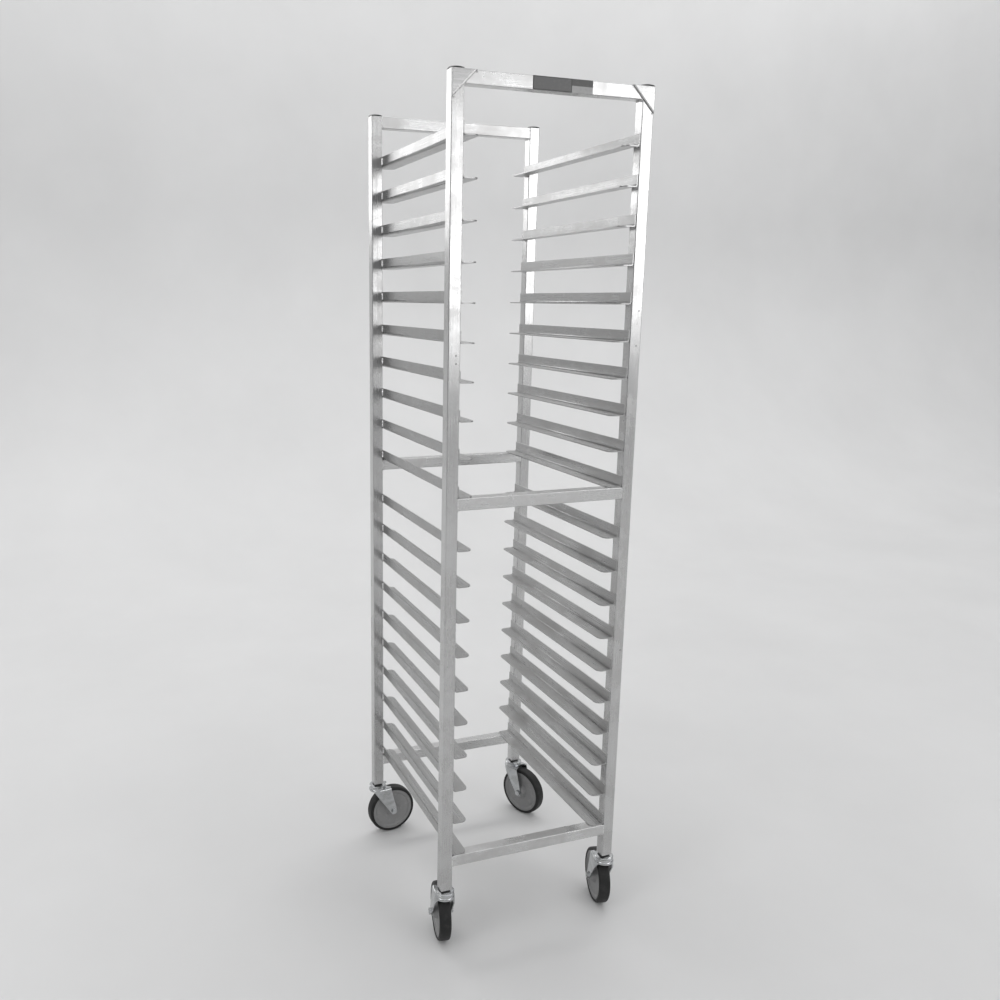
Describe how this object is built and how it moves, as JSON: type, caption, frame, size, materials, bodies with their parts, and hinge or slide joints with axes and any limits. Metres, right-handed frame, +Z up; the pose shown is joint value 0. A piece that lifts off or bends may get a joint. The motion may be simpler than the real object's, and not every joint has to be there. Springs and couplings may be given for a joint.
{
  "type": "sheet pan rack",
  "caption": "Tall narrow end-loading rack of welded square aluminium tube with angle runners for pans and trays, on swivel casters.",
  "frame": {"origin": "on the floor, below the middle of the welded frame (midway between the four uprights)", "axes": "+Z up; +Y from the front loading end to the rear end, along the runners; +X to the right seen from the front"},
  "size_m": [0.4819, 0.5471, 1.8288],
  "materials": {
    "frame_aluminium": "mill finish square tube, faintly brushed along its length",
    "runner_aluminium": "mill finish formed angle, satin with fine lengthwise draw lines",
    "cap_plastic": "moulded, satin dark grey",
    "label_plate": "printed dark grey foil plate, no text",
    "socket_plastic": "moulded insert, dark grey",
    "zinc_steel": "bright zinc plated pressed steel",
    "ball_steel": "polished hardened steel",
    "wheel_core_plastic": "moulded mid grey polypropylene",
    "tyre_rubber": "soft thermoplastic rubber, near black, non-marking"
  },
  "bodies": {
    "rack_frame": {"upright_front_left": "frame_aluminium", "upright_front_right": "frame_aluminium", "upright_rear_left": "frame_aluminium", "upright_rear_right": "frame_aluminium", "crossbar_front_top": "frame_aluminium", "crossbar_front_middle": "frame_aluminium", "crossbar_front_bottom": "frame_aluminium", "crossbar_rear_top": "frame_aluminium", "crossbar_rear_middle": "frame_aluminium", "crossbar_rear_bottom": "frame_aluminium", "runner_pair_01": "runner_aluminium", "runner_pair_02": "runner_aluminium", "runner_pair_03": "runner_aluminium", "runner_pair_04": "runner_aluminium", "runner_pair_05": "runner_aluminium", "runner_pair_06": "runner_aluminium", "runner_pair_07": "runner_aluminium", "runner_pair_08": "runner_aluminium", "runner_pair_09": "runner_aluminium", "runner_pair_10": "runner_aluminium", "runner_pair_11": "runner_aluminium", "runner_pair_12": "runner_aluminium", "runner_pair_13": "runner_aluminium", "runner_pair_14": "runner_aluminium", "runner_pair_15": "runner_aluminium", "runner_pair_16": "runner_aluminium", "runner_pair_17": "runner_aluminium", "runner_pair_18": "runner_aluminium", "runner_pair_19": "runner_aluminium", "runner_pair_20": "runner_aluminium", "corner_gussets": "frame_aluminium", "end_caps": "cap_plastic", "label_plate": "label_plate", "stem_sockets": "socket_plastic", "caster_front_left_stem": "zinc_steel", "caster_front_right_stem": "zinc_steel", "caster_rear_left_stem": "zinc_steel", "caster_rear_right_stem": "zinc_steel"},
    "caster_front_left_swivel": {"caster_front_left_fork": "zinc_steel", "caster_front_left_balls": "ball_steel", "caster_front_left_axle": "zinc_steel"},
    "caster_front_left_rolling_wheel": {"caster_front_left_wheel": "wheel_core_plastic", "caster_front_left_tyre": "tyre_rubber"},
    "caster_front_right_swivel": {"caster_front_right_fork": "zinc_steel", "caster_front_right_balls": "ball_steel", "caster_front_right_axle": "zinc_steel"},
    "caster_front_right_rolling_wheel": {"caster_front_right_wheel": "wheel_core_plastic", "caster_front_right_tyre": "tyre_rubber"},
    "caster_rear_left_swivel": {"caster_rear_left_fork": "zinc_steel", "caster_rear_left_balls": "ball_steel", "caster_rear_left_axle": "zinc_steel"},
    "caster_rear_left_rolling_wheel": {"caster_rear_left_wheel": "wheel_core_plastic", "caster_rear_left_tyre": "tyre_rubber"},
    "caster_rear_right_swivel": {"caster_rear_right_fork": "zinc_steel", "caster_rear_right_balls": "ball_steel", "caster_rear_right_axle": "zinc_steel"},
    "caster_rear_right_rolling_wheel": {"caster_rear_right_wheel": "wheel_core_plastic", "caster_rear_right_tyre": "tyre_rubber"}
  },
  "joints": [
    {"name": "caster_front_left_turn", "type": "hinge", "parent": "rack_frame", "child": "caster_front_left_swivel", "pos_m": [-0.2016, -0.2445, 0.134], "axis": [0, 0, 1], "continuous": true},
    {"name": "caster_front_left_roll", "type": "hinge", "parent": "caster_front_left_swivel", "child": "caster_front_left_rolling_wheel", "pos_m": [-0.19425, -0.20671, 0.0635], "axis": [-0.9816, 0.1908, 0], "continuous": true},
    {"name": "caster_front_right_turn", "type": "hinge", "parent": "rack_frame", "child": "caster_front_right_swivel", "pos_m": [0.2016, -0.2445, 0.134], "axis": [0, 0, 1], "continuous": true},
    {"name": "caster_front_right_roll", "type": "hinge", "parent": "caster_front_right_swivel", "child": "caster_front_right_rolling_wheel", "pos_m": [0.21091, -0.20714, 0.0635], "axis": [-0.9703, 0.2419, 0], "continuous": true},
    {"name": "caster_rear_left_turn", "type": "hinge", "parent": "rack_frame", "child": "caster_rear_left_swivel", "pos_m": [-0.2016, 0.2445, 0.134], "axis": [0, 0, 1], "continuous": true},
    {"name": "caster_rear_left_roll", "type": "hinge", "parent": "caster_rear_left_swivel", "child": "caster_rear_left_rolling_wheel", "pos_m": [-0.16325, 0.24785, 0.0635], "axis": [-0.0872, 0.9962, 0], "continuous": true},
    {"name": "caster_rear_right_turn", "type": "hinge", "parent": "rack_frame", "child": "caster_rear_right_swivel", "pos_m": [0.2016, 0.2445, 0.134], "axis": [0, 0, 1], "continuous": true},
    {"name": "caster_rear_right_roll", "type": "hinge", "parent": "caster_rear_right_swivel", "child": "caster_rear_right_rolling_wheel", "pos_m": [0.21787, 0.20961, 0.0635], "axis": [0.9063, 0.4226, 0], "continuous": true}
  ]
}
